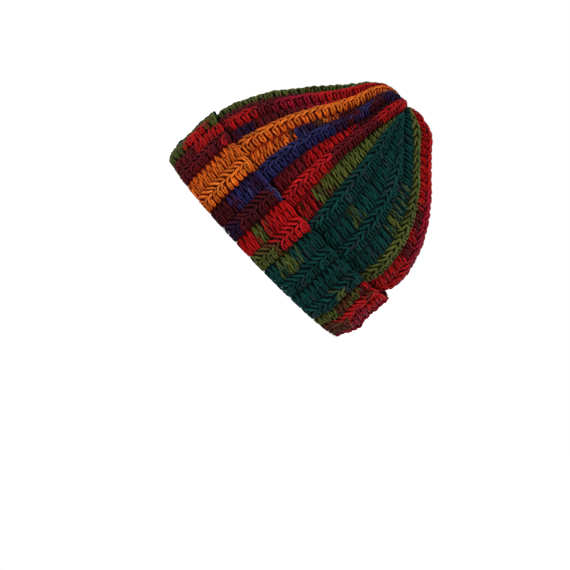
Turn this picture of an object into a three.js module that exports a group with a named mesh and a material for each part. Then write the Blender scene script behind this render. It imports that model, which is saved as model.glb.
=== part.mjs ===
// A chunky ribbed beanie crocheted sideways in thick wool, with its hem turned up into a cuff.
// It stands by itself on the fold of the cuff. Millimetres, +Z up. The origin is the middle of
// the hem on the surface below it, -X is over the forehead, +X over the nape and -Y the left ear.
import * as THREE from 'three';

// The cuff: the fabric turned up round the outside of the crown, and the fold that it stands on.
const cuff = {
  height: 54,      // from the surface to its free edge
  front: 109.4,    // reach of its rib crests from the origin
  back: 107.4,
  side: 86,
  thickness: 5.2,  // of its one turned-up layer
  furrow: 2.6,     // depth of the furrows between its ribs
  foot: 11.6,      // depth of the fold, which takes both layers
  footHeight: 8.6, // up to where the crown's layer starts
};

// The crown: rings of its rib crests from the fold to the gathered top. Each has its height, its
// reach to the front, back and either side, the depth of the furrows between the ribs, and the
// share of a rib that its long posts take, which the gather folds away.
const crownRings = [
  { height: 9.1, front: 102.6, back: 101.4, side: 79.8, furrow: 1.6, posts: 0.5 },
  { height: 34, front: 102.6, back: 101.4, side: 79.8, furrow: 1.8, posts: 0.5 },
  { height: 51, front: 102.6, back: 101.6, side: 80.0, furrow: 2.4, posts: 0.5 },
  { height: 62, front: 103.4, back: 105.6, side: 83.2, furrow: 3.4, posts: 0.5 },
  { height: 76, front: 99.0, back: 106.0, side: 83.4, furrow: 3.8, posts: 0.5 },
  { height: 94, front: 90.6, back: 101.2, side: 80.0, furrow: 4.2, posts: 0.5 },
  { height: 113, front: 78.2, back: 91.8, side: 72.8, furrow: 4.8, posts: 0.48 },
  { height: 133, front: 62.0, back: 76.4, side: 60.4, furrow: 5.6, posts: 0.44 },
  { height: 152, front: 45.4, back: 55.4, side: 46.0, furrow: 6.4, posts: 0.38 },
  { height: 165.5, front: 35.0, back: 40.8, side: 36.0, furrow: 6.6, posts: 0.32 },
  { height: 173.8, front: 25.6, back: 31.8, side: 26.4, furrow: 5.8, posts: 0.28 },
  { height: 177, front: 14.8, back: 18.6, side: 15.4, furrow: 4.2, posts: 0.25 },
  { height: 175, front: 7.0, back: 8.0, side: 7.0, furrow: 2.2, posts: 0.25 },
  { height: 172, front: 2.4, back: 2.6, side: 2.4, furrow: 0.4, posts: 0.25 },
];
const topRing = crownRings.length - 1;
const gatherDepth = 171;   // height of the point where the ribs are drawn together
const insideTop = 160;     // height of the inside of the gather
const crestWall = 6.2;     // from the rib crests to the inside
const furrowWall = 3;      // from the bottom of the furrows to the inside, at the least
const leastReach = 0.6;    // of a ring that is moved into the fabric
const fullFurrow = 4;      // depth of furrow from which a rib swells in full

// The ribs of the crown. A rib lies between its own furrow and that of the next. The turns say
// where its furrow stands at the cuff, half way up, above that and at the gathered top, in degrees
// from the left ear round towards the nape. Swell is how far it stands out from the others near
// the top, in millimetres. The cuff shows the fabric's other face, with a furrow in the middle of
// each rib, and lead is how many degrees that furrow stands further on.
const ribs = [
  { cuff: -77.5, middle: -77, upper: -98, top: -98, swell: 0.6, lead: 0 },
  { cuff: -55, middle: -54, upper: -77, top: -76, swell: 0.8, lead: -0.8 },
  { cuff: -35.5, middle: -35.5, upper: -54, top: -52, swell: 1.4, lead: 0.6 },
  { cuff: -17, middle: -19, upper: -26, top: -22, swell: 2.2, lead: 1.2 },
  { cuff: 0, middle: -3, upper: 4, top: 5, swell: -3, lead: 2.1 },
  { cuff: 18, middle: 16, upper: 6.5, top: 7, swell: -4, lead: 2.4 },
  { cuff: 36, middle: 37.5, upper: 8, top: 9.5, swell: 0.4, lead: 2.9 },
  { cuff: 57, middle: 60, upper: 54, top: 13, swell: 2.6, lead: -3 },
  { cuff: 81, middle: 82.5, upper: 80, top: 68, swell: 1.6, lead: 0 },
  { cuff: 104, middle: 104.5, upper: 102, top: 98, swell: 0, lead: 0 },
  { cuff: 126, middle: 124.5, upper: 120, top: 119, swell: 1, lead: 0 },
  { cuff: 146, middle: 145, upper: 138, top: 138, swell: -0.6, lead: 0 },
  { cuff: 164, middle: 166, upper: 156, top: 156, swell: 0.8, lead: 0 },
  { cuff: 182, middle: 184, upper: 173, top: 173, swell: 0, lead: 0 },
  { cuff: 200, middle: 199.5, upper: 191, top: 191, swell: 1.2, lead: 0 },
  { cuff: 218, middle: 218, upper: 209, top: 209, swell: -0.4, lead: 0 },
  { cuff: 237.5, middle: 239, upper: 226, top: 226, swell: 0.6, lead: 0 },
  { cuff: 259, middle: 260.5, upper: 244, top: 244, swell: 1.4, lead: 0 },
];
const postsShare = 0.5;    // share of a rib that the long posts take where nothing is folded away

// Shares of the way up the crown between which the ribs swing to each of those turns, and between
// which they grow round and swell.
const toMiddle = { from: 0, to: 0.5 };
const toUpper = { from: 0.55, to: 0.82 };
const toTop = { from: 0.72, to: 0.86 };
const toRound = { from: 0.42, to: 0.72 };

// One rib across, from furrow to furrow: the long posts lie low, the braid and the short posts
// beside it stand up as the rib, which is rounder near the gather. Both depths are shares of the
// furrow's depth below the crests.
const ribShape = [
  { across: 0.0, depth: 1.0, round: 1.0 },
  { across: 0.07, depth: 0.55, round: 0.74 },
  { across: 0.24, depth: 0.4, round: 0.36 },
  { across: 0.45, depth: 0.42, round: 0.14 },
  { across: 0.58, depth: 0.1, round: 0.02 },
  { across: 0.74, depth: 0.0, round: 0.03 },
  { across: 0.9, depth: 0.2, round: 0.38 },
];

// The cuff across its thickness, once round: how far in from the rib crests, its height, how much
// of the furrows' depth shows there, and how far the nape stands out past the rest.
const cuffSection = [
  { inset: 0.3, height: 51.2, ribbing: 1, nape: 2.4 },
  { inset: 0, height: 44, ribbing: 1, nape: 1.8 },
  { inset: 0, height: 30, ribbing: 1, nape: 1.2 },
  { inset: 0, height: 18, ribbing: 1, nape: 2.5 },
  { inset: 0.8, height: 7, ribbing: 0.8, nape: -1.6 },
  { inset: 3.4, height: 1.1, ribbing: 0.25, nape: -1.3 },
  { inset: 5.0, height: 0, ribbing: 0, nape: 0 },
  { inset: 8.6, height: 0, ribbing: 0, nape: 0 },
  { inset: 10.8, height: 2.4, ribbing: 0, nape: 0 },
  { inset: cuff.foot, height: cuff.footHeight, ribbing: 0, nape: 0 },
  { inset: cuff.thickness + 0.2, height: cuff.footHeight, ribbing: 0, nape: 0 },
  { inset: cuff.thickness, height: 26, ribbing: 0, nape: 0 },
  { inset: cuff.thickness - 0.1, height: 50, ribbing: 0, nape: 0 },
  { inset: cuff.thickness - 1.2, height: cuff.height - 0.4, ribbing: 0.1, nape: 0.6 },
  { inset: 2.2, height: cuff.height, ribbing: 0.4, nape: 2 },
];

// The crown's faceted rows, counted in rings of the table, down the outside and up the inside.
const outerSteps = [13, 12.3, 11.6, 11, 10.3, 9.5, 8.7, 8, 7, 6, 5, 4, 3.4, 3, 2.4, 1.6, 0];
const innerSteps = [0, 2, 3, 4, 5, 6, 7, 8, 9];

const wrap = (i, n) => ((i % n) + n) % n;
const mix = (a, b, t) => a + (b - a) * t;

// How much of a change between two shares of the way up has been made at a share of it.
function progress(crown, { from, to }) {
  const t = Math.max(0, Math.min(1, (crown - from) / (to - from)));
  return t * t * (3 - 2 * t);
}

// The value of a smooth curve through equally spaced values, at t from 0 to their last index.
function through(values, t) {
  const last = values.length - 1;
  const i = Math.min(Math.floor(t), last - 1);
  const f = t - i;
  const [a, b, c, d] = [i - 1, i, i + 1, i + 2]
    .map((k) => values[Math.min(Math.max(k, 0), last)]);
  return b + 0.5 * f * (c - a + f * (2 * a - 5 * b + 4 * c - d + f * (3 * (b - c) + d - a)));
}

// The crown's ring at t, counted in rows of crownRings.
function ringAt(t) {
  const ring = {};
  for (const key of Object.keys(crownRings[0])) {
    ring[key] = through(crownRings.map((row) => row[key]), t);
  }
  return ring;
}

// The crown's ring at t, moved into the fabric by a depth square to the profile.
function insetRing(t, depth) {
  const step = 0.02;
  const below = ringAt(Math.max(t - step, 0));
  const above = ringAt(Math.min(t + step, topRing));
  const rise = above.height - below.height;
  const reachIn = (below.front + below.back + 2 * below.side
    - above.front - above.back - 2 * above.side) / 4;
  const length = Math.hypot(rise, reachIn);
  const out = (depth * rise) / length;
  const ring = ringAt(t);
  return {
    height: ring.height - (depth * reachIn) / length,
    front: Math.max(ring.front - out, leastReach),
    back: Math.max(ring.back - out, leastReach),
    side: Math.max(ring.side - out, leastReach),
  };
}

// A point of a ring at a turn in degrees from the left ear towards the nape.
function onRing(ring, turn) {
  const a = THREE.MathUtils.degToRad(turn);
  const reach = Math.sin(a) > 0 ? ring.back : ring.front;
  return new THREE.Vector3(reach * Math.sin(a), -ring.side * Math.cos(a), ring.height);
}

// The turn of a place across the ribs: whole numbers are furrows, with rib i between furrow i
// and furrow i + 1. The crown is 0 at its foot and 1 at its gather.
function turnAcross(place, crown) {
  const furrow = (k) => {
    const rib = ribs[wrap(k, ribs.length)];
    const lower = mix(rib.cuff, rib.middle, progress(crown, toMiddle));
    const upper = mix(lower, rib.upper, progress(crown, toUpper));
    return 360 * Math.floor(k / ribs.length) + mix(upper, rib.top, progress(crown, toTop));
  };
  const k = Math.floor(place);
  return mix(furrow(k), furrow(k + 1), place - k);
}

// Where a share of the way across a rib comes to stand once its long posts have narrowed.
function narrowed(across, posts) {
  return across < postsShare
    ? (across * posts) / postsShare
    : mix(posts, 1, (across - postsShare) / (1 - postsShare));
}

// Places across all the ribs, one rib after another.
function placesAcross(posts) {
  return ribs.flatMap((_, i) => ribShape.map((row) => i + narrowed(row.across, posts)));
}

// Depths at those places, as shares of the furrow's, for ribs that are round by a share.
function depthsAcross(round) {
  return ribs.flatMap(() => ribShape.map((row) => mix(row.depth, row.round, round)));
}

// One row of points round the outside of the crown.
function outerRow(t) {
  const crown = t / topRing;
  const { furrow, posts } = ringAt(t);
  const round = progress(crown, toRound);
  const swelling = round * Math.min(1, furrow / fullFurrow);
  const depths = depthsAcross(round);
  return placesAcross(posts).map((place, i) => {
    const depth = furrow * depths[i] - ribs[Math.floor(place)].swell * (1 - depths[i]) * swelling;
    return onRing(insetRing(t, depth), turnAcross(place, crown));
  });
}

// One row of points round the smooth inside of the crown.
function innerRow(t) {
  const { furrow, posts } = ringAt(t);
  const ring = insetRing(t, Math.max(crestWall, furrow + furrowWall));
  return placesAcross(posts).map((place) => onRing(ring, turnAcross(place, t / topRing)));
}

// A closed body from rows of points, each row round the cap or one point. Rows run so that the
// outside is on the right hand side of a row going round from ear to nape.
function skin(rows, closes) {
  const positions = [];
  const starts = rows.map((row) => {
    const start = positions.length / 3;
    row.forEach((p) => positions.push(p.x, p.y, p.z));
    return start;
  });
  const faces = [];
  const count = closes ? rows.length : rows.length - 1;
  for (let r = 0; r < count; r += 1) {
    const s = (r + 1) % rows.length;
    const n = Math.max(rows[r].length, rows[s].length);
    for (let c = 0; c < n; c += 1) {
      const d = (c + 1) % n;
      const upper = rows[r].length === 1;
      const lower = rows[s].length === 1;
      if (!lower) faces.push(starts[r] + (upper ? 0 : c), starts[s] + c, starts[s] + d);
      if (!upper) faces.push(starts[r] + c, starts[s] + (lower ? 0 : d), starts[r] + d);
    }
  }
  const geometry = new THREE.BufferGeometry();
  geometry.setAttribute('position', new THREE.Float32BufferAttribute(positions, 3));
  geometry.setIndex(faces);
  geometry.computeVertexNormals();
  return geometry;
}

// The crown, from the gather down the outside, under its foot and up the inside.
function crownGeometry() {
  const apex = [new THREE.Vector3(0, 0, gatherDepth)];
  const ceiling = [new THREE.Vector3(0, 0, insideTop)];
  return skin([apex, ...outerSteps.map(outerRow), ...innerSteps.map(innerRow), ceiling], false);
}

// The turn of a place across the cuff, whose ribs are the other face of the crown's and stand half
// a rib further round.
function turnAcrossCuff(place) {
  const i = Math.floor(place);
  const [lead, nextLead] = [i, i + 1].map((k) => ribs[wrap(k, ribs.length)].lead);
  return turnAcross(place + 0.5, 0) + mix(lead, nextLead, place - i);
}

// The cuff: its section taken round the head.
function cuffGeometry() {
  const depths = depthsAcross(0);
  const rows = cuffSection.map((row) => placesAcross(postsShare).map((place, i) => {
    const inset = row.inset + cuff.furrow * depths[i] * row.ribbing;
    const ring = {
      height: row.height,
      front: cuff.front - inset,
      back: cuff.back + row.nape - inset,
      side: cuff.side - inset,
    };
    return onRing(ring, turnAcrossCuff(place));
  }));
  return skin(rows, true);
}

function fabric(name, geometry, colour) {
  const material = new THREE.MeshStandardMaterial({ color: colour, roughness: 0.95, metalness: 0 });
  const mesh = new THREE.Mesh(geometry, material);
  mesh.name = name;
  return mesh;
}

const darkRed = 0x7a1a1e;
const rust = 0x8a3a1c;
const beanie = new THREE.Group();
beanie.add(fabric('crown', crownGeometry(), darkRed));
beanie.add(fabric('cuff', cuffGeometry(), rust));

export default beanie;
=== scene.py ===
import math

import bpy
import numpy as np
from mathutils import Matrix, Vector


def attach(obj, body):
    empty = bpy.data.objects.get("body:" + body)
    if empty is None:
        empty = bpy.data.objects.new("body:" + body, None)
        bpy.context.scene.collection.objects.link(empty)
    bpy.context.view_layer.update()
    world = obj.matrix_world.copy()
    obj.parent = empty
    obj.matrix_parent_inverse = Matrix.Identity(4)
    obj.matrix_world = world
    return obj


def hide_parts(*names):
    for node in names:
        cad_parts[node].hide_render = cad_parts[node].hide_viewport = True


# A chunky beanie crocheted sideways in variegated wool. Every stitch is made of strands of yarn
# that lie on the two faces of the fabric. Sizes are in millimetres, as in the part's source, and
# the meshes are made in metres. +Z is up, -X over the forehead, +X over the nape, -Y the left ear.
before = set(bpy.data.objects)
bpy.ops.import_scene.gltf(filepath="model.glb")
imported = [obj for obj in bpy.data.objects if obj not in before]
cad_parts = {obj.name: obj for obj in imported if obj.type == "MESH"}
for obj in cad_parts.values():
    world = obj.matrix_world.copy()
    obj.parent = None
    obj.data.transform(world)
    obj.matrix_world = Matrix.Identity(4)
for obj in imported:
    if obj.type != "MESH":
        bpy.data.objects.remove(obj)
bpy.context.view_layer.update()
MM = 0.001

# The cuff, as the part has it.
CUFF_FRONT = 109.4
CUFF_BACK = 107.4
CUFF_SIDE = 86
CUFF_FURROW = 2.6

# The crown's rib crests from the fold to the gathered top, as the part has them: height, reach to
# the front, the back and either side, depth of the furrows, and share of a rib that its long
# posts take.
CROWN_RINGS = np.array([
    (9.1, 102.6, 101.4, 79.8, 1.6, 0.5),
    (34, 102.6, 101.4, 79.8, 1.8, 0.5),
    (51, 102.6, 101.6, 80.0, 2.4, 0.5),
    (62, 103.4, 105.6, 83.2, 3.4, 0.5),
    (76, 99.0, 106.0, 83.4, 3.8, 0.5),
    (94, 90.6, 101.2, 80.0, 4.2, 0.5),
    (113, 78.2, 91.8, 72.8, 4.8, 0.48),
    (133, 62.0, 76.4, 60.4, 5.6, 0.44),
    (152, 45.4, 55.4, 46.0, 6.4, 0.38),
    (165.5, 35.0, 40.8, 36.0, 6.6, 0.32),
    (173.8, 25.6, 31.8, 26.4, 5.8, 0.28),
    (177, 14.8, 18.6, 15.4, 4.2, 0.25),
    (175, 7.0, 8.0, 7.0, 2.2, 0.25),
    (172, 2.4, 2.6, 2.4, 0.4, 0.25),
])
TOP_RING = len(CROWN_RINGS) - 1
INSIDE_FURROW = 1.2
CEILING_RING = 9  # from which the inside runs level to its middle
CEILING = 160     # height of that middle
CREST_WALL = 6.2  # from the rib crests to the crown's inside
FURROW_WALL = 3   # from the bottom of the furrows to the inside, at the least

# The ribs, as the part has them: turns of a rib's furrow at the cuff, half way up, above that and
# at the gathered top, in degrees from the left ear towards the nape, how far it swells out near
# the top, and how many degrees the cuff's furrow stands on from its middle.
RIBS = np.array([
    (-77.5, -77, -98, -98, 0.6, 0),
    (-55, -54, -77, -76, 0.8, -0.8),
    (-35.5, -35.5, -54, -52, 1.4, 0.6),
    (-17, -19, -26, -22, 2.2, 1.2),
    (0, -3, 4, 5, -3, 2.1),
    (18, 16, 6.5, 7, -4, 2.4),
    (36, 37.5, 8, 9.5, 0.4, 2.9),
    (57, 60, 54, 13, 2.6, -3),
    (81, 82.5, 80, 68, 1.6, 0),
    (104, 104.5, 102, 98, 0, 0),
    (126, 124.5, 120, 119, 1, 0),
    (146, 145, 138, 138, -0.6, 0),
    (164, 166, 156, 156, 0.8, 0),
    (182, 184, 173, 173, 0, 0),
    (200, 199.5, 191, 191, 1.2, 0),
    (218, 218, 209, 209, -0.4, 0),
    (237.5, 239, 226, 226, 0.6, 0),
    (259, 260.5, 244, 244, 1.4, 0),
])
RIB_COUNT = len(RIBS)
RIB_SWELL, RIB_LEAD = 4, 5  # columns of the last two
POSTS_SHARE = 0.5  # share of a rib that the long posts take where nothing is folded away
FULL_FURROW = 4    # depth of furrow from which a rib swells in full

# Shares of the way up the crown between which the ribs swing to each of those turns, and between
# which they grow round and swell, as the part has them.
TO_MIDDLE = (0, 0.5)
TO_UPPER = (0.55, 0.82)
TO_TOP = (0.72, 0.86)
TO_ROUND = (0.42, 0.72)

# One rib across: share of the way from furrow to furrow, and share of the furrow's depth there.
RIB_ACROSS = np.array([0.0, 0.05, 0.14, 0.24, 0.45, 0.56, 0.66, 0.76, 0.86, 0.95, 1.0])
RIB_DEPTH = np.array([1.0, 0.72, 0.5, 0.42, 0.40, 0.14, 0.0, 0.0, 0.12, 0.5, 1.0])
TOP_RIB_DEPTH = np.array([1.0, 0.8, 0.56, 0.36, 0.14, 0.04, 0.0, 0.04, 0.2, 0.6, 1.0])

# The cuff's face from its free edge over the outside and under the hem: how far in from the rib
# crests, height, share of the furrows' depth, and how far the nape stands out past the rest.
CUFF_FACE = np.array([
    (1.6, 54.4, 0.6, 2.2),
    (0.5, 51.5, 0.9, 2.4),
    (0, 44, 1, 1.8),
    (0, 30, 1, 1.2),
    (0, 18, 1, 2.5),
    (0.8, 7, 0.8, -1.6),
    (3.4, 1.3, 0.35, -1.3),
    (5.6, 0.25, 0.1, 0),
    (8.4, 0.25, 0.0, 0),
    (10.8, 2.4, 0, 0),
])

# Columns of a face's rings. The first six are those of the crown's rings, then come the share of
# the way up the crown and the share of its swell that a rib has there.
HEIGHT, FRONT, BACK, SIDE, FURROW, POSTS_WIDTH, UP, SWELL = range(8)
REACHES = slice(FRONT, SIDE + 1)
LEAST_REACH = 0.4   # of a point, so that no ring turns inside out
HALF_A_RIB = 0.5    # to its middle, and to where the ribs of the other face stand

# Rows of stitches, as lengths along a face.
CROWN_PITCH = 6.4   # from one stitch to the next up a rib of the crown
CUFF_PITCH = 5.1    # and of the cuff
CROWN_START = 4.5   # first row, from the gathered top
CROWN_END = 4       # left free at the other end of the crown's face
CROWN_OFFSET = 0.5  # of the pitch, the most by which the rows of a rib are shifted
CUFF_OFFSET = 0.2   # the same on the cuff, either way
CUFF_START = 6.0    # first row, from the free edge
CUFF_ROW_COUNT = 13  # down to under the hem
CUFF_ROWS = CUFF_START + CUFF_PITCH * np.arange(CUFF_ROW_COUNT)
EDGE_ROW = 1.4      # the turning chains of the free edge
INSIDE_END = 3      # left free in the middle of the ceiling

# Yarn.
YARN_RADIUS = 0.98
FLATNESS = 0.92     # height of a strand as a share of its width
FULL_WIDTH = 21     # of a rib from which its strands keep their full thickness
LEAST_SIZE = 0.5    # share of that thickness that they keep on the narrowest ribs
LEAST_CROSSWISE = 0.85  # the same of a strand that runs across the rib
CLOSED_WIDTH = 2    # of a rib that the gather has closed, with no stitches to be seen
PLY_COUNT = 2
PLY_TURN = 8.0      # length of yarn in which its plies make one turn
PLY_RELIEF = (0.8, 1.12)  # shares of the radius in the groove between the plies and on them
END_CAP = 0.4       # of the radius, how far the middle of a strand's end stands out
LOWEST_STRAND = 0.02  # height of its lowest points over the ground
COMES_UP = (-1.8, 0.4)  # heights over the fabric between which a strand's painted shade gives way to full light
FINE = (8, 1.35)    # sides of a strand and length of its segments, where it is seen from near
COARSE = (5, 3.4)   # the same on the inside
FEWEST_SEGMENTS, MOST_SEGMENTS = 4, 40

# How uneven the stitches are. The first two are of one control and of a whole strand: place across
# the rib, place up the rib in stitches, height in millimetres and share of the thickness.
WOBBLE = (0.009, 0.045, 0.16, 0.05)
SHIFT = (0.009, 0.06, 0.25, 0.07)
LEVEL_SPREAD = 2.6        # of the level at which a strand takes its colour
BRIGHTNESS_SPREAD = 0.16
FLECKED = 0.88            # tone from which a strand has a fleck in it
CROWN_SEED, CUFF_SEED, INSIDE_SEED = 7, 27, 47

# The core, the middle of the fabric behind the stitches, whose colours hold painted shade.
CORE_DEPTHS = (2.0, 3.0)  # of its two skins under the face
CORE_STEP = 4.5           # along the face
CORE_ACROSS = 7           # points across a rib
CORE_TURNS = 40           # turns of the plies from end to end of its map
LOWEST_CORE = 0.3         # height of its lowest points over the ground
POINT = 0.02              # of a ring's reach, where a skin closes to a point
HEM = 70                  # length along the other face where the cuff's core ends
CORE_OVERLAP = 3.4        # of the inside's core and the cuff's

# Light and shade painted into the yarn's colours, as shares of its colour.
CORE_SHADE = 0.46    # of the core, beside the yarn that shows
CORE_LIGHT = 0.4     # painted light on it, of the painted light on the yarn
DEEP_SHADE = 0.45    # of a strand where it dives into the fabric
FURROW_SHADE = 0.55  # of the yarn in a furrow
FLANK_SHADE = 0.5    # of the side of a strand that faces into the fabric
PLY_SHADE = 0.5      # of the groove between the plies
PLY_LIGHT = 1.1      # on the plies
MOST_LIGHT = 1.2
GAP_LIGHT = 0.5      # light that is left of a colour where its shade is 0
DEEPENING = 0.9      # how much purer a colour grows there

# The yarn's colours by the letters that the charts have for them, each as two plies and a fleck,
# in sRGB from 0 to 255.
YARN = {
    "O": ((192, 116, 42), (148, 60, 12), (104, 72, 20)),    # orange
    "B": ((38, 38, 74), (26, 22, 50), (78, 74, 108)),       # blue
    "N": ((42, 18, 42), (24, 10, 32), (50, 46, 88)),        # navy
    "K": ((64, 15, 21), (40, 5, 12), (62, 18, 38)),         # dark
    "M": ((88, 19, 27), (60, 6, 14), (56, 14, 38)),         # maroon
    "C": ((134, 24, 48), (98, 8, 28), (70, 12, 42)),        # crimson
    "R": ((158, 29, 31), (118, 8, 12), (102, 14, 26)),      # red
    "W": ((70, 44, 25), (50, 25, 17), (86, 80, 34)),        # brown
    "G": ((74, 83, 42), (48, 48, 20), (96, 94, 56)),        # olive
    "T": ((7, 54, 49), (3, 34, 34), (42, 32, 42)),          # teal
}
GATHER_YARN = "M"
RUN_CHANGE = 2.2   # of level, either side of which a colour run changes into the next
EYE_ELEVATION = 6.35  # degrees at which the photograph's eye looks down on the cap
EYE_SLOPE = math.tan(math.radians(EYE_ELEVATION))

# Colour runs down each rib of the crown, for its long posts and for its braid with the short
# posts: a letter for the colour and the level in millimetres down to which it goes.
POSTS, BRAID = 0, 1
CROWN_CHART = [
    ("M", "R126 C98 M79 R53 M"),
    ("R126 C106 M70 N52 M", "O"),
    ("K124 O118 W110 N98 B89 W84 O", "N166 K150 B141 K130 N118 B"),
    ("K128 R81 M", "R150 M97 R"),
    ("T164 G77 W71 G65 M58 R49 W", "T"),
    ("T117 W116 T82 G74 T", "T"),
    ("T122 G118 T105 G96 T", "G"),
    ("R129 W119 M107 R100 M88 R", "R140 C84 R"),
    ("C", "R130 C"),
    ("M60 K", "O120 W90 O"),
    ("O", "O70 N"),
    ("N110 B", "B60 T"),
    ("T", "T"),
    ("T90 G", "G"),
    ("G120 W80 R", "R"),
    ("R70 M", "M120 K"),
    ("K90 O", "O100 T"),
    ("M", "G"),
]

# The same for the ribs of the cuff, which stand half a rib further round, with the colour of the
# turning chain at the top of the long posts and of the braid.
CUFF_CHART = [
    ("R19 M", "R46 M", "R", "M"),
    ("O", "O", "O", "O"),
    ("N31 B13 K", "B44 K1 N", "B", "B"),
    ("R20 W15 G8 R", "R17 K11 W6 G", "R", "R"),
    ("T18 G4 T", "T", "T", "T"),
    ("T", "T27 G21 T", "T", "T"),
    ("M37 G31 W14 G", "W40 R12 W", "R", "R"),
    ("R36 C16 W", "C", "R", "R"),
    ("M", "M20 R", "R", "M"),
    ("O", "O", "O", "O"),
    ("N", "N30 B", "N", "N"),
    ("T", "T", "T", "T"),
    ("T", "T25 G", "T", "T"),
    ("G", "W20 R", "G", "R"),
    ("R", "R30 M", "R", "M"),
    ("K", "K10 O", "K", "O"),
    ("T", "T", "T", "T"),
    ("G", "G41 R19 G", "G", "G"),
]
EDGE_CHART = [(posts_edge, braid_edge) for _, _, posts_edge, braid_edge in CUFF_CHART]

# The inside shows the crown's ribs from behind, half a rib further round.
INSIDE_CHART = [
    (braid, CROWN_CHART[(rib + 1) % RIB_COUNT][POSTS])
    for rib, (_, braid) in enumerate(CROWN_CHART)
]

# Strands of one stitch of the crown. Each has a name, whose yarn it is, and its controls: place
# across the rib from furrow to furrow, place up the rib in stitches, height over the fabric in
# millimetres, and share of the yarn's thickness.
CROWN_STITCH = [
    ("wrap", POSTS, [
        (0.0, 0.30, -1.3, 0.65), (0.045, 0.27, 0.0, 0.85), (0.12, 0.19, 0.6, 1.15),
        (0.21, 0.06, 0.8, 1.15), (0.30, -0.09, 0.4, 1.0), (0.37, -0.22, -1.2, 0.6),
    ]),
    ("lower_wrap", POSTS, [
        (0.015, 0.04, -1.4, 0.65), (0.06, -0.06, -0.1, 0.85), (0.13, -0.16, 0.3, 1.05),
        (0.20, -0.25, 0.1, 1.0), (0.265, -0.33, -0.7, 0.8), (0.31, -0.38, -1.9, 0.6),
    ]),
    ("post", POSTS, [
        (0.17, 0.41, -1.7, 0.6), (0.23, 0.33, -0.4, 0.85), (0.31, 0.22, 0.3, 1.1),
        (0.395, 0.13, 0.5, 1.1), (0.465, 0.07, -0.2, 0.9), (0.515, 0.02, -1.9, 0.6),
    ]),
    ("lower_post", POSTS, [
        (0.24, -0.18, -1.8, 0.6), (0.30, -0.23, -0.3, 0.85), (0.365, -0.28, 0.3, 1.08),
        (0.43, -0.32, 0.1, 1.05), (0.485, -0.35, -0.6, 0.85), (0.52, -0.37, -2.0, 0.6),
    ]),
    ("left_leg", BRAID, [
        (0.50, -0.46, -2.0, 0.7), (0.515, -0.22, -0.2, 1.0), (0.545, 0.15, 0.7, 1.22),
        (0.588, 0.57, 0.8, 1.22), (0.628, 0.94, 0.1, 0.95), (0.645, 1.12, -1.4, 0.6),
    ]),
    ("right_leg", BRAID, [
        (0.65, 1.10, -1.6, 0.6), (0.663, 0.90, 0.0, 0.95), (0.69, 0.52, 0.8, 1.2),
        (0.722, 0.12, 0.6, 1.18), (0.757, -0.20, -0.2, 0.95), (0.775, -0.38, -1.8, 0.6),
    ]),
    ("short_posts", BRAID, [
        (0.735, 0.16, -1.8, 0.6), (0.78, 0.12, -0.1, 0.85), (0.845, 0.08, 0.5, 1.1),
        (0.92, 0.05, 0.5, 1.05), (0.975, -0.02, 0.0, 0.85), (0.992, -0.14, -0.5, 0.75),
        (0.975, -0.26, -0.1, 0.85), (0.92, -0.33, 0.4, 1.05), (0.845, -0.36, 0.4, 1.05),
        (0.78, -0.37, -0.3, 0.8), (0.74, -0.37, -1.8, 0.6),
    ]),
]

# Strands of one stitch of the other face, whose long posts end in pointed loops.
CUFF_STITCH = [
    ("loop_end", POSTS, [
        (0.32, -0.14, -1.5, 0.6), (0.25, -0.06, 0.1, 0.95), (0.165, 0.05, 0.7, 1.12),
        (0.085, 0.14, 0.6, 1.05), (0.025, 0.21, 0.0, 0.85), (0.0, 0.27, -1.4, 0.6),
    ]),
    ("loop_back", POSTS, [
        (0.02, 0.28, -1.6, 0.6), (0.07, 0.39, -0.3, 0.85), (0.14, 0.44, 0.2, 1.05),
        (0.21, 0.42, 0.2, 1.0), (0.28, 0.36, -1.3, 0.6),
    ]),
    ("low_post", POSTS, [
        (0.15, 0.82, -1.7, 0.6), (0.21, 0.76, -0.1, 0.85), (0.30, 0.66, 0.6, 1.12),
        (0.39, 0.57, 0.4, 1.08), (0.47, 0.50, -0.4, 0.85), (0.515, 0.46, -1.9, 0.6),
    ]),
    ("high_post", POSTS, [
        (0.24, 1.16, -1.7, 0.6), (0.29, 1.13, -0.1, 0.85), (0.36, 1.07, 0.3, 1.05),
        (0.43, 1.01, 0.1, 1.05), (0.485, 0.96, -0.6, 0.85), (0.52, 0.92, -1.9, 0.6),
    ]),
    ("left_leg", BRAID, [
        (0.495, -0.50, -2.0, 0.7), (0.52, -0.26, -0.2, 1.0), (0.57, 0.14, 0.7, 1.22),
        (0.63, 0.60, 0.8, 1.22), (0.68, 0.98, 0.1, 0.95), (0.702, 1.18, -1.4, 0.6),
    ]),
    ("right_leg", BRAID, [
        (0.708, 1.16, -1.6, 0.6), (0.716, 0.94, 0.0, 0.95), (0.738, 0.52, 0.8, 1.18),
        (0.765, 0.12, 0.6, 1.12), (0.80, -0.12, 0.1, 0.95), (0.85, -0.22, 0.4, 1.1),
        (0.905, -0.22, 0.3, 1.05), (0.955, -0.16, -0.2, 0.85), (0.972, -0.02, -0.7, 0.75),
        (0.955, 0.12, -0.3, 0.85), (0.905, 0.21, 0.3, 1.05), (0.85, 0.24, 0.2, 1.05),
        (0.805, 0.26, -0.6, 0.8), (0.78, 0.27, -1.9, 0.6),
    ]),
]

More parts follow.
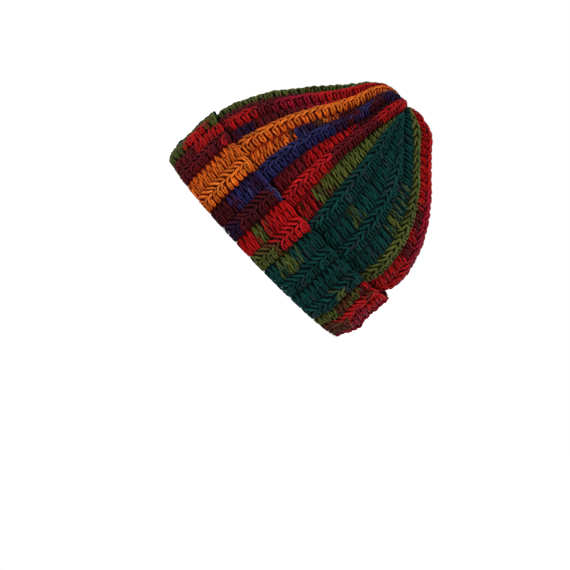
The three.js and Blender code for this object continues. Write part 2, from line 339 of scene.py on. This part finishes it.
# The turning chains along the cuff's free edge: over the long posts and over the braid.
EDGE_STITCH = [
    ("upper_chain", POSTS, [
        (0.02, -0.34, -1.6, 0.7), (0.08, -0.02, 0.0, 0.9), (0.19, 0.13, 0.6, 1.1),
        (0.32, 0.12, 0.6, 1.1), (0.46, 0.06, 0.3, 1.0), (0.60, -0.14, -1.3, 0.7),
    ]),
    ("lower_chain", POSTS, [
        (0.03, -0.62, -1.8, 0.7), (0.11, -0.46, 0.0, 0.9), (0.23, -0.38, 0.5, 1.1),
        (0.38, -0.44, 0.4, 1.0), (0.53, -0.66, -1.6, 0.7),
    ]),
    ("upper_braid", BRAID, [
        (0.52, -0.32, -1.6, 0.7), (0.62, 0.02, 0.2, 0.9), (0.74, 0.15, 0.7, 1.1),
        (0.87, 0.12, 0.6, 1.1), (0.99, 0.02, 0.2, 0.9), (1.07, -0.22, -1.3, 0.7),
    ]),
    ("lower_braid", BRAID, [
        (0.52, -0.64, -1.8, 0.7), (0.62, -0.44, 0.1, 0.9), (0.75, -0.36, 0.6, 1.1),
        (0.89, -0.40, 0.4, 1.0), (1.03, -0.60, -1.6, 0.7),
    ]),
]


def mix(a, b, t):
    return a + (b - a) * t


def ease(t):
    t = np.clip(t, 0, 1)
    return t * t * (3 - 2 * t)


def progress(value, span):
    """How much of a change has been made at a value, if the change is spread over a span."""
    start, end = span
    return ease((value - start) / (end - start))


def through(values, t):
    """Points at t of a smooth curve through equally spaced values, whose first axis is theirs."""
    last = len(values) - 1
    i = np.clip(np.floor(t).astype(int), 0, last - 1)
    t = (t - i)[..., None]
    before, start, end, after = (values[np.clip(i + k, 0, last)] for k in (-1, 0, 1, 2))
    bend = 2 * before - 5 * start + 4 * end - after
    twist = 3 * (start - end) + after - before
    return start + 0.5 * t * (end - before + t * (bend + t * twist))


def unit(vectors):
    """The vectors with a length of one. Those without a length stay as they are."""
    tiny = 1e-9
    return vectors / (np.linalg.norm(vectors, axis=1, keepdims=True) + tiny)


def mean_reach(front, back, side):
    """How far a ring stands from the middle, as a mean of its reach to all four sides."""
    return (front + back + 2 * side) / 4


class Face:
    """One face of the fabric, worked out from its rings at lengths s along the fabric. The shift
    is the share of a rib by which its ribs stand further round than the crown's."""

    STEP = 0.5  # of those lengths

    def __init__(self, rings, shift):
        reach = mean_reach(*rings.T[REACHES])
        run = np.hypot(np.diff(reach), np.diff(rings[:, HEIGHT]))
        along = np.concatenate([[0], np.cumsum(run)])
        self.s = np.arange(0, along[-1], self.STEP)
        self.rings = np.stack([np.interp(self.s, along, column) for column in rings.T], 1)
        self.length = along[-1]
        self.shift = shift
        rise = np.gradient(self.rings[:, HEIGHT], self.s)
        spread = np.gradient(np.interp(self.s, along, reach), self.s)
        size = np.hypot(rise, spread)
        self.outwards, self.upwards = -rise / size, spread / size

    def ring(self, s, column):
        return np.interp(s, self.s, self.rings[:, column])

    def turn(self, place, up):
        """Turn in degrees of a place across this face's ribs, where whole numbers are furrows."""
        def furrow(k):
            cuff, middle, upper, top = RIBS[np.mod(k, RIB_COUNT), :4].T
            turn = mix(cuff, middle, progress(up, TO_MIDDLE))
            turn = mix(turn, upper, progress(up, TO_UPPER))
            return 360 * (k // RIB_COUNT) + mix(turn, top, progress(up, TO_TOP))

        def lead(k):
            return RIBS[np.mod(k, RIB_COUNT), RIB_LEAD] * (1 - progress(up, TO_MIDDLE))

        def between(values, place):
            k = np.floor(place).astype(int)
            return mix(values(k), values(k + 1), place - k)

        turn = between(furrow, place + self.shift)
        return turn + between(lead, place) if self.shift else turn

    def at(self, rib, across, s, lift):
        """The point on the face at a share across a rib, a length along it and a height over it."""
        s = np.clip(s, 0, self.length - self.STEP)
        up = self.ring(s, UP)
        whole = np.floor(across)
        share = across - whole
        posts = self.ring(s, POSTS_WIDTH)
        narrow = np.where(
            share < POSTS_SHARE,
            share * posts / POSTS_SHARE,
            mix(posts, 1.0, (share - POSTS_SHARE) / (1 - POSTS_SHARE)),
        )
        low = mix(
            np.interp(share, RIB_ACROSS, RIB_DEPTH),
            np.interp(share, RIB_ACROSS, TOP_RIB_DEPTH),
            progress(up, TO_ROUND),
        )
        swell = RIBS[np.mod(rib + whole.astype(int), RIB_COUNT), RIB_SWELL] * self.ring(s, SWELL)
        over = lift - self.ring(s, FURROW) * low + swell * (1 - low)
        outwards = np.interp(s, self.s, self.outwards) * over
        height = self.ring(s, HEIGHT) + np.interp(s, self.s, self.upwards) * over
        angle = np.radians(self.turn(rib + whole + narrow, up))
        reach = np.where(np.sin(angle) > 0, self.ring(s, BACK), self.ring(s, FRONT)) + outwards
        side = self.ring(s, SIDE) + outwards
        return np.stack([
            np.maximum(reach, LEAST_REACH) * np.sin(angle),
            -np.maximum(side, LEAST_REACH) * np.cos(angle),
            height,
        ], -1)

    def rib_width(self, rib, s):
        """Width of a rib from furrow to furrow at a length along the face."""
        up = self.ring(s, UP)
        reach = mean_reach(self.ring(s, FRONT), self.ring(s, BACK), self.ring(s, SIDE))
        rib = np.asarray(rib)
        return np.radians(self.turn(rib + 1, up) - self.turn(rib, up)) * reach

    def level(self, rib, s):
        """The charts' level of a rib at a length along the face: its height, less what the eye's
        slope takes off on the near side."""
        angle = np.radians(self.turn(np.asarray(rib) + HALF_A_RIB, self.ring(s, UP)))
        near = self.ring(s, SIDE) * np.maximum(np.cos(angle), 0)
        return self.ring(s, HEIGHT) - EYE_SLOPE * near


def crown_rows(first, last, count):
    """Rings of the crown's crests between two of its tabled rings, with all the columns."""
    t = np.linspace(first, last, count)
    rows = through(CROWN_RINGS, t)
    up = t / TOP_RING
    swell = progress(up, TO_ROUND) * np.minimum(1, rows[:, FURROW] / FULL_FURROW)
    return np.column_stack([rows, up, swell])


def inset_rows(rows, depth):
    """The same rings moved into the fabric by a depth square to the profile."""
    least_reach = 0.6
    rise = np.gradient(rows[:, HEIGHT])
    spread = np.gradient(mean_reach(*rows.T[REACHES]))
    size = np.hypot(rise, spread)
    moved = rows.copy()
    moved[:, HEIGHT] += depth * spread / size
    moved[:, REACHES] -= (depth * rise / size)[:, None]
    moved[:, REACHES] = np.maximum(moved[:, REACHES], least_reach)
    return moved


def crown_face():
    """The outside of the crown, from the gathered top down behind the cuff."""
    behind_cuff = 1.6  # among the crown's rings
    count = 160
    return Face(crown_rows(TOP_RING, behind_cuff, count), 0.0)


def cuff_face():
    """The other face: the cuff's outside, the hem, and the inside up to the gathered top."""
    inset, height, ribbing, nape = CUFF_FACE.T
    outside = np.column_stack([
        height,
        CUFF_FRONT - inset,
        CUFF_BACK + nape - inset,
        CUFF_SIDE - inset,
        CUFF_FURROW * ribbing,
        np.full(len(inset), POSTS_SHARE),
        np.zeros(len(inset)),
        np.zeros(len(inset)),
    ])
    inside_rings = 90
    rows = crown_rows(0, CEILING_RING, inside_rings)
    inside = inset_rows(rows, np.maximum(CREST_WALL, rows[:, FURROW] + FURROW_WALL))
    inside[:, FURROW] = INSIDE_FURROW
    inside[:, SWELL] = 0
    reach, furrow, ceiling_rings = 1.5, 0.2, 8
    middle = np.array([CEILING, reach, reach, reach, furrow, CROWN_RINGS[-1, POSTS_WIDTH], 1, 0])
    ceiling = [mix(inside[-1], middle, (k + 1) / ceiling_rings) for k in range(ceiling_rings)]
    rings = np.vstack([outside, inside, ceiling])
    fine_rings = 6 * len(rings)
    return Face(through(rings, np.linspace(0, len(rings) - 1, fine_rings)), HALF_A_RIB)


def linear(rgb):
    """sRGB from 0 to 255 as linear light."""
    c = np.asarray(rgb, float) / 255
    return np.where(c <= 0.04045, c / 12.92, ((c + 0.055) / 1.055) ** 2.4)


PLIES = {letter: [linear(rgb) for rgb in colours] for letter, colours in YARN.items()}


def run_colour(chart, level):
    """The letter of the colour at a level of a chart's string, whose last run has no end."""
    *runs, last = chart.split()
    for run in runs:
        if level > float(run[1:]):
            return run[0]
    return last


def with_painted_shade(colour, light):
    """Wool's colour at shares of painted light: painted deeper in the gaps, not just darker."""
    light = np.asarray(light)[..., None]
    pure = colour / colour.max(-1, keepdims=True)
    return colour * pure ** (DEEPENING * (1 - light)) * mix(GAP_LIGHT, 1, light)


def yarn_colours(upper, lower, rng):
    """The colours of the plies of a strand, on its way from one letter's colour to another's. The
    tone of a strand says how far each ply draws near to the other, or if the second is flecked."""
    first_draws, second_draws, fleck_share = 0.5, 0.3, 0.6
    tone = rng.random()
    light, dark, _ = PLIES[upper]
    first = mix(light, dark, first_draws * tone)
    light, dark, fleck = PLIES[lower]
    second = mix(dark, light, second_draws * tone)
    if tone > FLECKED:
        second = mix(dark, fleck, fleck_share)
    return np.array([first, second]) * rng.normal(1, BRIGHTNESS_SPREAD)


def yarn_size(width):
    """The thickness of the strands on a rib of a width, as a share of their full one."""
    return np.clip(width / FULL_WIDTH, LEAST_SIZE, 1.0)


def tube(points, normals, radius, around, plies):
    """The points of a closed tube, flattened along the normals: its rings, then its two ends."""
    along = unit(np.gradient(points, axis=0))
    across = unit(np.cross(along, normals))
    up = np.cross(across, along)
    reach = (radius[:, None] * mix(*PLY_RELIEF, plies))[..., None]
    rings = (
        points[:, None]
        + across[:, None] * reach * np.cos(around)[None, :, None]
        + up[:, None] * reach * FLATNESS * np.sin(around)[None, :, None]
    )
    ends = points[[0, -1]] + along[[0, -1]] * radius[[0, -1], None] * [[-END_CAP], [END_CAP]]
    verts = np.concatenate([rings.reshape(-1, 3), ends])
    verts[:, 2] = np.maximum(verts[:, 2], LOWEST_STRAND)
    return verts


class Strands:
    """Tubes of yarn that are joined into one mesh. Each strand has a place of its own in the
    map OFBake, and in the map yarn its length in turns of the plies and the way round it."""

    def __init__(self):
        self.verts, self.first, self.second = [], [], []
        self.quads, self.tris = [], []
        self.point_count, self.strand_count = 0, 0

    def add(self, points, normals, radius, colours, shade, sides):
        """A strand through points, with the colours of its two plies and the light and shade
        painted on it.
        """
        around = 2 * math.pi * np.arange(sides) / sides
        steps = np.linalg.norm(np.diff(points, axis=0), axis=1)
        run = np.concatenate([[0], np.cumsum(steps)]) / PLY_TURN
        phase = PLY_COUNT * (around[None] - 2 * math.pi * run[:, None])
        plies = 0.5 + 0.5 * np.cos(phase)
        verts = tube(points, normals, radius, around, plies)
        self.add_sides(run, sides)
        self.add_ends(run, sides)

        contrast = 0.7  # of the painted shade between a strand's outer and inner side
        # Painted shade on the inner side and the ply groove, painted light on the plies.
        facing_out = np.clip(0.5 + contrast * np.sin(around), 0, 1)
        lit = mix(FLANK_SHADE, 1, facing_out) * mix(PLY_SHADE, PLY_LIGHT, plies)
        light = np.concatenate([(shade[:, None] * lit).ravel(), shade[[0, -1]]])
        for kept, colour in zip((self.first, self.second), colours):
            kept.append(with_painted_shade(colour, np.clip(light, 0, MOST_LIGHT)))
        self.verts.append(verts)
        self.point_count += len(verts)
        self.strand_count += 1

    def add_faces(self, kept, faces, place, run, share):
        """Faces of the strand with their corners' places in the two maps."""
        kept.append((
            self.point_count + faces,
            np.stack([place, share], -1),
            np.stack([run, share], -1),
            np.full(len(faces), self.strand_count),
        ))

    def add_sides(self, run, sides):
        """Quads from each ring of the strand to the next."""
        rings = len(run)
        i, k = np.indices((rings - 1, sides)).reshape(2, -1)
        ring = np.stack([i, i, i + 1, i + 1], -1)
        corner = np.stack([k, k + 1, k + 1, k], -1)
        place = (ring + 1) / (rings + 1)
        self.add_faces(self.quads, ring * sides + corner % sides, place, run[ring], corner / sides)

    def add_ends(self, run, sides):
        """Triangles from the strand's first and last ring to the middle of either end."""
        rings = len(run)
        k = np.arange(sides)
        fans = (
            (0, 0, rings * sides, np.stack([k + 1, k], -1)),
            (rings - 1, 1, rings * sides + 1, np.stack([k, k + 1], -1)),
        )
        for ring, end, middle, corner in fans:
            faces = np.column_stack([np.full(sides, middle), ring * sides + corner % sides])
            place = (ring + 1) / (rings + 1)
            place = np.tile([end, place, place], (sides, 1))
            share = np.column_stack([k + 0.5, corner]) / sides
            self.add_faces(self.tris, faces, place, np.full((sides, 3), run[ring]), share)

    def build(self, name, material):
        """The strands as a piece. The map OFBake has a square for each, with a margin in it."""
        squares = math.ceil(math.sqrt(self.strand_count))
        margin = 0.06
        kinds, maps = [], {"OFBake": [], "yarn": []}
        for kept in (self.quads, self.tris):
            faces, places, yarn, strand = (np.concatenate(values) for values in zip(*kept))
            square = np.stack([strand % squares, strand // squares], -1)[:, None]
            places = (square + (places * (1 - 2 * margin) + margin)) / squares
            kinds.append(faces)
            maps["OFBake"].append(places.reshape(-1, 2))
            maps["yarn"].append(yarn.reshape(-1, 2))
        maps = {title: np.vstack(values) for title, values in maps.items()}
        colours = {"first_ply": np.vstack(self.first), "second_ply": np.vstack(self.second)}
        return make_piece(name, np.vstack(self.verts), *kinds, maps, colours, material)


def make_piece(name, verts, quads, tris, maps, colours, material):
    """A smooth mesh from points in millimetres, with its maps and its colours at the points."""
    loops = np.concatenate([quads.ravel(), tris.ravel()])
    starts = np.concatenate([
        4 * np.arange(len(quads)),
        4 * len(quads) + 3 * np.arange(len(tris)),
    ])
    mesh = bpy.data.meshes.new(name)
    mesh.vertices.add(len(verts))
    mesh.vertices.foreach_set("co", (verts * MM).astype(np.float32).ravel())
    mesh.loops.add(len(loops))
    mesh.loops.foreach_set("vertex_index", loops.astype(np.int32))
    mesh.polygons.add(len(starts))
    mesh.polygons.foreach_set("loop_start", starts.astype(np.int32))
    mesh.update(calc_edges=True)
    mesh.polygons.foreach_set("use_smooth", np.ones(len(starts), bool))
    for title, values in maps.items():
        layer = mesh.uv_layers.new(name=title)
        layer.data.foreach_set("uv", values.astype(np.float32).ravel())
    for title, values in colours.items():
        colour = np.ones((len(verts), 4), np.float32)
        colour[:, :3] = values
        attribute = mesh.color_attributes.new(title, "FLOAT_COLOR", "POINT")
        attribute.data.foreach_set("color", colour.ravel())
    mesh.validate()
    mesh.materials.append(material)
    piece = bpy.data.objects.new(name, mesh)
    bpy.context.scene.collection.objects.link(piece)
    return piece


class Crochet:
    """A stretch of the fabric as it is worked: on a face, in stitches of some strands, at a pitch
    along the ribs, in the colours of its charts, and with a fine or a coarse mesh."""

    def __init__(self, face, stitch, pitch, charts, mesh):
        self.face, self.stitch, self.pitch, self.charts = face, stitch, pitch, charts
        self.sides, self.segment = mesh

    def work(self, strands, rib, s, rng):
        """One stitch of a rib, at a length along the face."""
        width = self.face.rib_width(rib, s)
        if width < CLOSED_WIDTH:
            return
        size = yarn_size(width)
        for _, yarn, path in self.stitch:
            path = np.array(path)
            wobble = rng.normal(0, 1, path.shape) * WOBBLE
            shift = rng.normal(0, 1, len(SHIFT)) * SHIFT
            rough = np.diff(path[:, :3] * (width, self.pitch, size), axis=0)
            segments = round(np.linalg.norm(rough, axis=1).sum() / self.segment)
            count = int(np.clip(segments, FEWEST_SEGMENTS, MOST_SEGMENTS)) + 1
            fine = through(path + wobble + shift, np.linspace(0, len(path) - 1, count))
            across, up, height, thickness = fine.T

            step = np.gradient(fine[:, :2], axis=0) * (width, self.pitch)
            crosswise = unit(step)[:, 0] ** 2
            radius = YARN_RADIUS * thickness * mix(size, max(size, LEAST_CROSSWISE), crosswise)
            along = s - up * self.pitch
            ribs = np.full(count, rib)
            points = self.face.at(ribs, across, along, height * size - radius)
            above = self.face.at(ribs, across, along, height * size - radius + 1)

            # Painted shade where a strand dives into the fabric and where it lies in a furrow.
            low = np.interp(across % 1, RIB_ACROSS, RIB_DEPTH)
            shade = mix(DEEP_SHADE, 1, progress(height, COMES_UP)) * mix(1, FURROW_SHADE, low)
            level = self.face.level(rib, along[count // 2]) + rng.normal(0, LEVEL_SPREAD)
            chart = self.charts[rib % RIB_COUNT][yarn]
            upper = run_colour(chart, level + RUN_CHANGE)
            lower = run_colour(chart, level - RUN_CHANGE)
            colours = yarn_colours(upper, lower, rng)
            strands.add(points, above - points, radius, colours, shade, self.sides)


def gather_row(strands, rng):
    """The yarn that draws the ribs together, sewn to and fro over the middle of the gather."""
    crossings, points_each = 8, 13
    half_turns = 3         # that they make round the middle
    reach = 7.2
    lowest = 172.0
    pile = 0.22            # from one crossing to the next
    rise, dive = 2.6, 3.0  # towards the ends of a crossing, and at them
    steepness = 12         # of the dive, which is short
    turn_spread, aside_spread = 0.1, 0.7
    # The gather's yarn is painted in shade at this share of light.
    thickness, light = 0.8, 0.75
    sides, _ = FINE
    t = np.linspace(-1, 1, points_each)
    for k in range(crossings):
        turn = math.pi * half_turns * k / crossings + rng.normal(0, turn_spread)
        aside = rng.normal(0, aside_spread)
        points = np.stack([
            reach * t * math.cos(turn) - aside * math.sin(turn),
            reach * t * math.sin(turn) + aside * math.cos(turn),
            lowest + pile * k + rise * t ** 2 - dive * np.abs(t) ** steepness,
        ], -1)
        normals = np.tile([0.0, 0.0, 1.0], (points_each, 1))
        radius = np.full(points_each, thickness * YARN_RADIUS)
        colours = yarn_colours(GATHER_YARN, GATHER_YARN, rng)
        strands.add(points, normals, radius, colours, np.full(points_each, light), sides)


def core_piece(name, face, charts, material, first, last, gather=None):
    """The middle of the fabric behind the stitches: a thin closed skin in the yarn's colours with
    painted shade. The gather, where the skin closes to a point, is at its first or last row."""
    rows = [(s, 1) for s in np.arange(first, last, CORE_STEP)]
    if gather == "first":
        rows.insert(0, (first, POINT))
    if gather == "last":
        rows.append((last, POINT))
    front, back = CORE_DEPTHS
    across = np.linspace(0, 1, CORE_ACROSS, endpoint=False)
    ribs = np.repeat(np.arange(RIB_COUNT), CORE_ACROSS)
    across = np.tile(across, RIB_COUNT)
    points, colours = [], []
    for depth, way in ((front, rows), (back, rows[::-1])):
        for s, reach in way:
            lift = -depth * yarn_size(face.rib_width(ribs, s))
            s = np.full(len(ribs), s)
            points.append(face.at(ribs, across, s, lift) * (reach, reach, 1))
            for rib, share, level in zip(ribs, across, face.level(ribs, s)):
                chart = charts[rib][POSTS if share < POSTS_SHARE else BRAID]
                colours.append(PLIES[run_colour(chart, level)][1])
    row_count, column_count = len(points), len(ribs)
    verts = np.concatenate(points)
    verts[:, 2] = np.maximum(verts[:, 2], LOWEST_CORE)
    # Painted shade: the core is darker and deeper than the yarn that shows.
    colours = with_painted_shade(np.array(colours), CORE_LIGHT) * CORE_SHADE

    i, k = np.indices((row_count, column_count)).reshape(2, -1)
    row = np.stack([i, i + 1, i + 1, i], -1)
    column = np.stack([k, k, k + 1, k + 1], -1)
    quads = row % row_count * column_count + column % column_count
    no_tris = np.zeros((0, 3), int)
    uv = np.stack([column / column_count, row / row_count], -1).reshape(-1, 2)
    maps = {"OFBake": uv, "yarn": uv * CORE_TURNS}
    colours = {"first_ply": colours, "second_ply": colours}
    return make_piece(name, verts, quads, no_tris, maps, colours, material)


def set_inputs(tree, node, inputs):
    """Sets inputs of a node, each to a value or to the output of another node."""
    for key, value in inputs.items():
        if isinstance(value, bpy.types.NodeSocket):
            tree.links.new(value, node.inputs[key])
        else:
            node.inputs[key].default_value = value


def add_node(tree, kind, inputs, **settings):
    """A new node of a tree, with its settings and its inputs."""
    node = tree.nodes.new(kind)
    for key, value in settings.items():
        setattr(node, key, value)
    set_inputs(tree, node, inputs)
    return node


def wool_material(name):
    """Woollen yarn: two plies twisted together, a heather of darker and lighter fibres, fuzz."""
    material = bpy.data.materials.new(name)
    material.use_nodes = True
    tree = material.node_tree

    def maths(operation, *values):
        node = add_node(tree, "ShaderNodeMath", dict(enumerate(values)), operation=operation)
        return node.outputs[0]

    def noise(scale, detail):
        inputs = {"Vector": place.outputs["Object"], "Scale": scale, "Detail": detail}
        return add_node(tree, "ShaderNodeTexNoise", inputs).outputs["Fac"]

    def ramp(value, low, high, bottom, top):
        inputs = {"Value": value, "From Min": low, "From Max": high}
        inputs.update({"To Min": bottom, "To Max": top})
        return add_node(tree, "ShaderNodeMapRange", inputs).outputs[0]

    place = add_node(tree, "ShaderNodeTexCoord", {})
    yarn_map = add_node(tree, "ShaderNodeUVMap", {}, uv_map="yarn")
    split = add_node(tree, "ShaderNodeSeparateXYZ", {0: yarn_map.outputs[0]})
    turns, round_it, _ = split.outputs
    phase = maths("MULTIPLY", maths("SUBTRACT", round_it, turns), 2 * PLY_COUNT * math.pi)
    ply = maths("COSINE", phase)
    fibre = noise(scale=900, detail=3)
    heather = noise(scale=260, detail=2)

    ply_share = 0.12
    share = maths("ADD", maths("MULTIPLY", ply, ply_share), heather)
    share = ramp(share, low=0.2, high=0.8, bottom=0, top=1)
    both = add_node(tree, "ShaderNodeMix", {"Factor": share}, data_type="RGBA")
    sockets = [socket for socket in both.inputs if socket.type == "RGBA"]
    # The plies' colours at the points, with the painted light and shade in them.
    for title, socket in zip(("first_ply", "second_ply"), sockets):
        attribute = add_node(tree, "ShaderNodeVertexColor", {}, layer_name=title)
        tree.links.new(attribute.outputs["Color"], socket)
    colour = [socket for socket in both.outputs if socket.type == "RGBA"][0]
    light = ramp(fibre, low=0.25, high=0.75, bottom=0.65, top=1.3)
    inputs = {0: colour, "Scale": light}
    tinted = add_node(tree, "ShaderNodeVectorMath", inputs, operation="SCALE")

    ply_relief, fibre_relief = 0.35, 0.9
    fuzz = maths("MULTIPLY", fibre, fibre_relief)
    relief = maths("ADD", maths("MULTIPLY", ply, ply_relief), fuzz)
    inputs = {"Strength": 0.7, "Distance": 0.5 * MM, "Height": relief}
    bump = add_node(tree, "ShaderNodeBump", inputs)
    set_inputs(tree, tree.nodes["Principled BSDF"], {
        "Base Color": tinted.outputs[0],
        "Roughness": 0.7,
        "Specular IOR Level": 0.04,
        "Sheen Weight": 0.015,
        "Sheen Roughness": 0.45,
        "Normal": bump.outputs[0],
    })
    return material


def make_camera():
    """The camera looks at the cap's left side and leans as the photograph does."""
    azimuth, elevation, roll = (math.radians(x) for x in (-1.0, EYE_ELEVATION, 46.75))
    distance = 1900 * MM
    focal, picture = 2235.3, 570  # in pixels
    sensor = 36
    aim_right, aim_up = 25.7 * MM, -31.4 * MM
    back = Vector((
        math.sin(azimuth) * math.cos(elevation),
        -math.cos(azimuth) * math.cos(elevation),
        math.sin(elevation),
    ))
    level = Vector((0, 0, 1)).cross(back).normalized()
    upright = back.cross(level)
    right = level * math.cos(roll) + upright * math.sin(roll)
    up = upright * math.cos(roll) - level * math.sin(roll)
    data = bpy.data.cameras.new("camera")
    data.sensor_width = sensor
    data.lens = sensor * focal / picture
    camera = bpy.data.objects.new("camera", data)
    eye = right * aim_right + up * aim_up + back * distance
    camera.matrix_world = Matrix.Translation(eye) @ Matrix((right, up, back)).transposed().to_4x4()
    bpy.context.scene.collection.objects.link(camera)
    bpy.context.scene.camera = camera


def make_floor():
    """A pale floor that fades out into the white round it. Its sizes are in metres."""
    half = 3.0
    fade_from, fade_to = 0.35, 1.2
    mesh = bpy.data.meshes.new("floor")
    corners = [(-half, -half, 0), (half, -half, 0), (half, half, 0), (-half, half, 0)]
    mesh.from_pydata(corners, [], [(0, 1, 2, 3)])
    floor = bpy.data.objects.new("floor", mesh)
    bpy.context.scene.collection.objects.link(floor)
    material = bpy.data.materials.new("floor_paint")
    material.use_nodes = True
    tree = material.node_tree
    shader = tree.nodes["Principled BSDF"]
    set_inputs(tree, shader, {
        "Base Color": (0.7, 0.7, 0.7, 1),
        "Roughness": 0.9,
        "Specular IOR Level": 0.1,
        "Emission Color": (1, 1, 1, 1),
        "Emission Strength": 0.6,
    })
    place = add_node(tree, "ShaderNodeTexCoord", {})
    away = add_node(tree, "ShaderNodeVectorMath", {0: place.outputs["Object"]}, operation="LENGTH")
    inputs = {"Value": away.outputs["Value"], "From Min": fade_from, "From Max": fade_to}
    fade = add_node(tree, "ShaderNodeMapRange", inputs, interpolation_type="SMOOTHSTEP")
    clear = add_node(tree, "ShaderNodeBsdfTransparent", {})
    inputs = {"Fac": fade.outputs[0], 1: shader.outputs[0], 2: clear.outputs[0]}
    both = add_node(tree, "ShaderNodeMixShader", inputs)
    set_inputs(tree, tree.nodes["Material Output"], {"Surface": both.outputs[0]})
    mesh.materials.append(material)


def make_lamp(name, place, size, power):
    """A soft square lamp that faces the middle of the cap. Places and sizes are in metres."""
    target = Vector((0, 0, 0.09))
    data = bpy.data.lights.new(name, "AREA")
    data.size = size
    data.energy = power
    lamp = bpy.data.objects.new(name, data)
    lamp.location = place
    lamp.rotation_mode = "QUATERNION"
    lamp.rotation_quaternion = (Vector(place) - target).to_track_quat("Z", "Y")
    bpy.context.scene.collection.objects.link(lamp)


def make_lights():
    """A white room, which looks brighter than it lights, and three soft lamps."""
    white = (1, 1, 1, 1)
    world = bpy.data.worlds.new("world")
    bpy.context.scene.world = world
    world.use_nodes = True
    tree = world.node_tree
    lit = tree.nodes["Background"]
    set_inputs(tree, lit, {"Color": white, "Strength": 0.58})
    seen = add_node(tree, "ShaderNodeBackground", {"Color": white})
    path = add_node(tree, "ShaderNodeLightPath", {})
    inputs = {"Fac": path.outputs["Is Camera Ray"], 1: lit.outputs[0], 2: seen.outputs[0]}
    both = add_node(tree, "ShaderNodeMixShader", inputs)
    set_inputs(tree, tree.nodes["World Output"], {"Surface": both.outputs[0]})
    make_lamp("key", place=(-0.6, -1.1, 1.7), size=0.5, power=40)
    make_lamp("fill", place=(1.3, -1.5, 1.0), size=1.0, power=18)
    make_lamp("back", place=(0.5, 1.5, 1.3), size=1.2, power=14)


def sectors(count, seed):
    """Parts of the way round the cap that are a piece each: number, ribs, random numbers and
    strands to come."""
    each = RIB_COUNT // count
    for k in range(count):
        yield k + 1, range(k * each, (k + 1) * each), np.random.default_rng(seed + k), Strands()


def crown_pieces(face, wool):
    """The stitches of the crown's outside, and the yarn of the gather."""
    crochet = Crochet(face, CROWN_STITCH, CROWN_PITCH, CROWN_CHART, FINE)
    rows = np.arange(CROWN_START, face.length - CROWN_END, CROWN_PITCH)
    pieces = []
    for number, ribs, rng, strands in sectors(count=6, seed=CROWN_SEED):
        for rib in ribs:
            offset = rng.uniform(0, CROWN_OFFSET) * CROWN_PITCH
            for s in rows + offset:
                crochet.work(strands, rib, s, rng)
        if number == 1:
            gather_row(strands, rng)
        piece = strands.build(f"crown_stitches_{number}", wool)
        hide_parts("crown")
        pieces.append(piece)
    return pieces


def cuff_pieces(face, wool):
    """The stitches of the cuff with the turning chains along its free edge."""
    crochet = Crochet(face, CUFF_STITCH, CUFF_PITCH, CUFF_CHART, FINE)
    edge = Crochet(face, EDGE_STITCH, CUFF_PITCH, EDGE_CHART, FINE)
    pieces = []
    for number, ribs, rng, strands in sectors(count=3, seed=CUFF_SEED):
        for rib in ribs:
            offset = rng.uniform(-CUFF_OFFSET, CUFF_OFFSET) * CUFF_PITCH
            for s in CUFF_ROWS + offset:
                crochet.work(strands, rib, s, rng)
            edge.work(strands, rib, EDGE_ROW, rng)
        piece = strands.build(f"cuff_stitches_{number}", wool)
        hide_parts("cuff")
        pieces.append(piece)
    return pieces


def inside_pieces(face, wool):
    """The stitches of the inside, from the hem to the middle of the ceiling."""
    crochet = Crochet(face, CUFF_STITCH, CROWN_PITCH, INSIDE_CHART, COARSE)
    rows = np.arange(CUFF_ROWS[-1] + CUFF_PITCH, face.length - INSIDE_END, CROWN_PITCH)
    pieces = []
    for number, ribs, rng, strands in sectors(count=3, seed=INSIDE_SEED):
        for rib in ribs:
            for s in rows:
                crochet.work(strands, rib, s, rng)
        piece = strands.build(f"inside_stitches_{number}", wool)
        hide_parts("crown")
        pieces.append(piece)
    return pieces


def core_pieces(outer, inner, wool):
    """The cores of crown, cuff and inside. Those that end at the gather close there to a point."""
    margin = 1.0     # length left free at either end of a face
    free_edge = 1.2  # and at the cuff's edge
    crown_end = outer.length - margin
    crown = core_piece("crown_core", outer, CROWN_CHART, wool, margin, crown_end, "first")
    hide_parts("crown")
    cuff = core_piece("cuff_core", inner, CUFF_CHART, wool, free_edge, HEM)
    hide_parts("cuff")
    inside = core_piece("inside_core", inner, INSIDE_CHART, wool, HEM - CORE_OVERLAP,
                        inner.length - margin, "last")
    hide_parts("crown")
    return [crown, cuff, inside]


wool = wool_material("wool")
outer, inner = crown_face(), cuff_face()
pieces = (
    crown_pieces(outer, wool)
    + cuff_pieces(inner, wool)
    + inside_pieces(inner, wool)
    + core_pieces(outer, inner, wool)
)
for piece in pieces:
    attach(piece, "root")
make_camera()
make_floor()
make_lights()
bpy.context.scene.view_settings.view_transform = "Standard"
